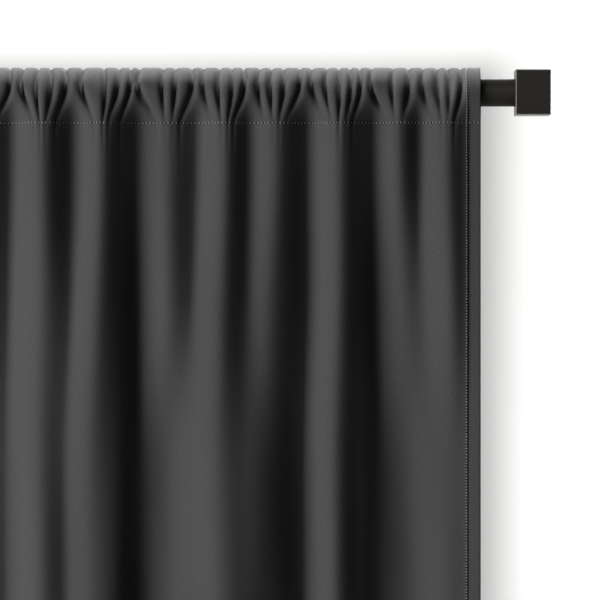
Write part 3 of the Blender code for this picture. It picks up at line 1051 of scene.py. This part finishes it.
def makePanel(panel):
    word, side = panel.word, panel.side
    nearHem = sideHem + np.array([-1.6, -1.2, -0.7, -0.2, 0.2]) * mm
    even = np.linspace(0, panelWidth, cloth["columns"] + 1)
    even = even[np.abs(np.minimum(even, panelWidth - even) - sideHem + 0.7 * mm) > 1.2 * mm]
    s = np.sort(np.concatenate([even, nearHem, panelWidth - nearHem]))
    rows = pocketRows + dropRows
    grid = panel.points(s, rows)
    middle = len(rows) - 20
    u = lengthAlong(grid[middle])
    v = lengthAlong(grid[:, len(s) // 2])
    piece = sheetMesh(f"{word}_curtain", grid, u, v, cloth["thickness"])
    nodes = [f"{word}_rod_pocket", f"{word}_side_pocket_end", f"{word}_leading_pocket_end"]
    nodes += [f"{word}_fold_{number}" for number in range(1, 10)]
    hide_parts(*nodes)
    bends(piece, charcoalCloth)
    gathered = u[-1]

    # The turned-in hems lie behind the cloth, on its wall side
    behind = 1.15 * cloth["thickness"]
    for edge, places, body in (
        ("side", np.linspace(0, sideHem, 9), f"{word}_panel"),
        ("leading", np.linspace(panelWidth - sideHem, panelWidth, 9), f"{word}_leading_edge"),
    ):
        strip = panel.points(places, rows)
        strip = strip - outward(strip, side) * behind
        hem = sheetMesh(f"{word}_{edge}_hem_turn", strip, places, v, cloth["thickness"])
        finished(hem, charcoalCloth, "charcoal_cloth", body, f"{word}_{edge}_hem")
    inner = np.linspace(sideHem + 0.5 * mm, panelWidth - sideHem - 0.5 * mm, cloth["columns"] - 12)
    heights = np.linspace(bottomZ + 0.3 * mm, bottomZ + cloth["bottomHem"], 12)
    turn = panel.points(inner, [("drop", z) for z in heights[::-1]])
    turn = turn - outward(turn, side) * behind
    hem = sheetMesh(f"{word}_bottom_hem_turn", turn, lengthAlong(turn[0]), heights, cloth["thickness"])
    bends(hem, charcoalCloth)

    # Stitching: along the pocket's seam, down both side hems and along the bottom hem
    proud = cloth["thickness"] / 2 + stitch["proud"]
    fine = np.linspace(0.5 * mm, panelWidth - 0.5 * mm, 1600)
    bottomSeam = bottomZ + cloth["bottomHem"] - stitch["fromFold"]
    for name, height in (("pocket_stitching", seamZ), ("bottom_stitching", bottomSeam)):
        band = panel.points(fine, [("drop", height + step * mm) for step in (1, 0, -1)])
        normals = outward(band, side)[1]
        line = stitchRow(f"{word}_{name}", band[1] + normals * proud, normals, stitch["seamPitch"])
        bends(line, charcoalThread)
        applyHoleShade(line)
    front = [row for row in rows if row[0] == "drop" or row[1] > 0.08]
    for edge, place, body in (
        ("side", sideHem + stitch["fromHem"], f"{word}_panel"),
        ("leading", panelWidth - sideHem - stitch["fromHem"], f"{word}_leading_edge"),
    ):
        band = panel.points(place + np.array([-1, 0, 1]) * mm, front)
        normals = outward(band, side)[:, 1]
        line = stitchRow(f"{word}_{edge}_stitching", band[:, 1] + normals * proud, normals, stitch["pitch"])
        finished(line, charcoalThread, "charcoal_cloth", body)
        applyHoleShade(line)
    makeLabel(panel, behind)
    print(word, "panel made, gathered from", round(gathered, 3), "m")


label = {"thickness": 0.5 * mm, "curl": 3 * mm, "hemClear": 1.0 * mm}


def makeLabel(panel, behind):
    word, side = panel.word, panel.side
    low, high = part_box(f"{word}_care_label")
    width = high.x - low.x
    places = np.linspace(1 * mm, 1 * mm + width, 15)
    heights = np.linspace(high.z, low.z, 21)
    grid = panel.points(places, [("drop", z) for z in heights])
    clear = 2 * behind + label["hemClear"]
    grid = grid - outward(grid, side) * clear
    hang = (high.z - heights) / (high.z - low.z)
    grid[:, :, 1] += (hang ** 2 * label["curl"])[:, None]
    piece = sheetMesh(f"{word}_care_label_tape", grid, places, heights, label["thickness"])
    return finished(piece, labelTape, "white_label", f"{word}_panel", f"{word}_care_label")


def restOfGathers(start, seed):  # gathers at uneven steps, from start to the leading hem
    chance = random.Random(seed)
    places = []
    while start < panelWidth / mm - 18:
        places.append(start)
        start += chance.uniform(9.5, 17.5)
    return places


def mirroredLines(seed):  # the same kind of folds in another order, each a little changed
    chance = random.Random(seed)
    width = panelWidth / mm
    lines = []
    for line in foldLines[::-1]:
        atHem = line[0] < 20 or line[0] > width - 20
        shift = 0 if atHem else chance.uniform(-4, 4)
        share = 1 if atHem else chance.uniform(0.8, 1.2)
        lines.append([width - value + shift if i % 2 == 0 else value * share for i, value in enumerate(line)])
    return lines


makePanel(Panel("right", 1, foldLines, gatherPlaces + restOfGathers(396, 3), 11))
makePanel(Panel("left", -1, mirroredLines(5), restOfGathers(18, 8), 23))


# Floor, wall, lights and camera
stage = {"floorBelow": 60 * mm, "wallWidth": 9.0, "wallHeight": 5.0, "wallGlow": 0.46, "floorGlow": 0.50}


def plainFinish(name, colour, glow):
    finish = Finish(name, Roughness=0.9)
    place = finish.objectPlace()
    finish.feed("Base Color", finish.shaded(finish.noise(place, 6, 3), colour, 0.01))
    if glow:
        finish.shader.inputs["Emission Color"].default_value = (1, 0.995, 0.985, 1)
        finish.shader.inputs["Emission Strength"].default_value = glow
    return finish


def makeStage():
    floorZ = bottomZ - stage["floorBelow"]
    pickNothing()
    bpy.ops.mesh.primitive_plane_add(size=9, location=(0, 0, floorZ))
    floor = settle(added("floor"))
    floor.data.materials.append(plainFinish("paleFloor", (0.62, 0.61, 0.59), stage["floorGlow"]).material)
    bpy.ops.mesh.primitive_plane_add(size=1, location=(0, 0, floorZ + stage["wallHeight"] / 2))
    wall = added("wall")
    wall.scale = (stage["wallWidth"], stage["wallHeight"], 1)
    wall.rotation_euler = (math.pi / 2, 0, 0)   # faces the room, and is open to view from behind
    bpy.context.view_layer.update()
    settle(wall)
    finish = plainFinish("paleWall", (0.80, 0.795, 0.785), stage["wallGlow"])
    tree = finish.tree
    back = finish.node("ShaderNodeNewGeometry", output="Backfacing")
    clear = finish.node("ShaderNodeBsdfTransparent")
    front = Wire(finish, finish.shader.outputs[0])
    sides = finish.node("ShaderNodeMixShader", {}, {0: back, 1: front, 2: clear})
    tree.links.new(sides.socket, tree.nodes["Material Output"].inputs["Surface"])
    wall.data.materials.append(finish.material)
    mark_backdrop(floor, wall)
    return floor, wall


lights = {
    "target": (0.34, rodY, -0.40),
    "key": {"turn": 58, "rise": 3, "far": 3.2, "size": 2.4, "power": 164},
    "topLight": {"turn": 180, "rise": 77, "far": 2.4, "size": 0.9, "power": 170},
    "metalLight": {"turn": 30, "rise": 28, "far": 3.0, "size": 2.2, "power": 105},
    "wallLight": {"turn": 12, "rise": 0, "far": 4.0, "size": 2.1, "power": 135},
    "rearLight": {"turn": 205, "rise": 20, "far": 4.0, "size": 2.5, "power": 300},
    "fill": 0.028,
}


def addLight(name, turn, rise, far, size, power):
    target = Vector(lights["target"])
    turn, rise = math.radians(turn), math.radians(rise)
    back = Vector((-math.sin(turn) * math.cos(rise), -math.cos(turn) * math.cos(rise), math.sin(rise)))
    data = bpy.data.lights.new(name, "AREA")
    data.shape = "DISK"
    data.size = size
    data.energy = power
    made = bpy.data.objects.new(name, data)
    bpy.context.scene.collection.objects.link(made)
    made.location = target + back * far
    made.rotation_mode = "QUATERNION"
    made.rotation_quaternion = (-back).to_track_quat("-Z", "Y")
    return made


def grouped(name, objects):
    group = bpy.data.collections.new(name)
    for one in objects:
        group.objects.link(one)
    return group


floor, wall = makeStage()
for one in (floor, wall):
    one.visible_diffuse = False   # they don't throw their own light back on the cloth
key, topLight, metalLight, wallLight, rearLight = (
    addLight(name, **lights[name]) for name in ("key", "topLight", "metalLight", "wallLight", "rearLight")
)
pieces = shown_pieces()
fabric = [piece for piece in pieces if piece.name.endswith(("_curtain", "_hem_turn"))]
sewn = [piece for piece in pieces if piece.name.endswith(("_stitching", "_tape"))]
hardware = [piece for piece in pieces if piece not in fabric + sewn]
key.light_linking.receiver_collection = grouped("keyLit", fabric + sewn)
topLight.light_linking.receiver_collection = grouped("topLit", fabric + sewn)
topLight.light_linking.blocker_collection = grouped("topBlockers", pieces)
metalLight.light_linking.receiver_collection = grouped("metalLit", hardware)
rearLight.light_linking.receiver_collection = grouped("rearLit", pieces)
rearLight.light_linking.blocker_collection = grouped("rearBlockers", pieces)
wallLight.light_linking.receiver_collection = grouped("backdrop", [floor, wall])
wallLight.light_linking.blocker_collection = grouped("fabric", fabric)


def makeWorld():  # white to look at, dim as a light
    world = bpy.data.worlds.new("studio")
    world.use_nodes = True
    nodes, links = world.node_tree.nodes, world.node_tree.links
    seen = nodes.new("ShaderNodeLightPath").outputs["Is Camera Ray"]
    strength = nodes.new("ShaderNodeMapRange")
    links.new(seen, strength.inputs["Value"])
    strength.inputs["To Min"].default_value = lights["fill"]
    strength.inputs["To Max"].default_value = 1.0
    nodes["Background"].inputs["Color"].default_value = (1, 1, 1, 1)
    links.new(strength.outputs[0], nodes["Background"].inputs["Strength"])
    bpy.context.scene.world = world


makeWorld()
bpy.context.scene.view_settings.view_transform = "Standard"

view = {"centre": (0.4537, -0.1914), "far": 5.0, "across": 0.5544}
cameraData = bpy.data.cameras.new("camera")
cameraData.sensor_width = 36
cameraData.lens = 36 * view["far"] / view["across"]
camera = bpy.data.objects.new("camera", cameraData)
bpy.context.scene.collection.objects.link(camera)
camera.location = (view["centre"][0], rodY - view["far"], view["centre"][1])
camera.rotation_euler = (math.pi / 2, 0, 0)
bpy.context.scene.camera = camera
print("stage, lights and camera made")
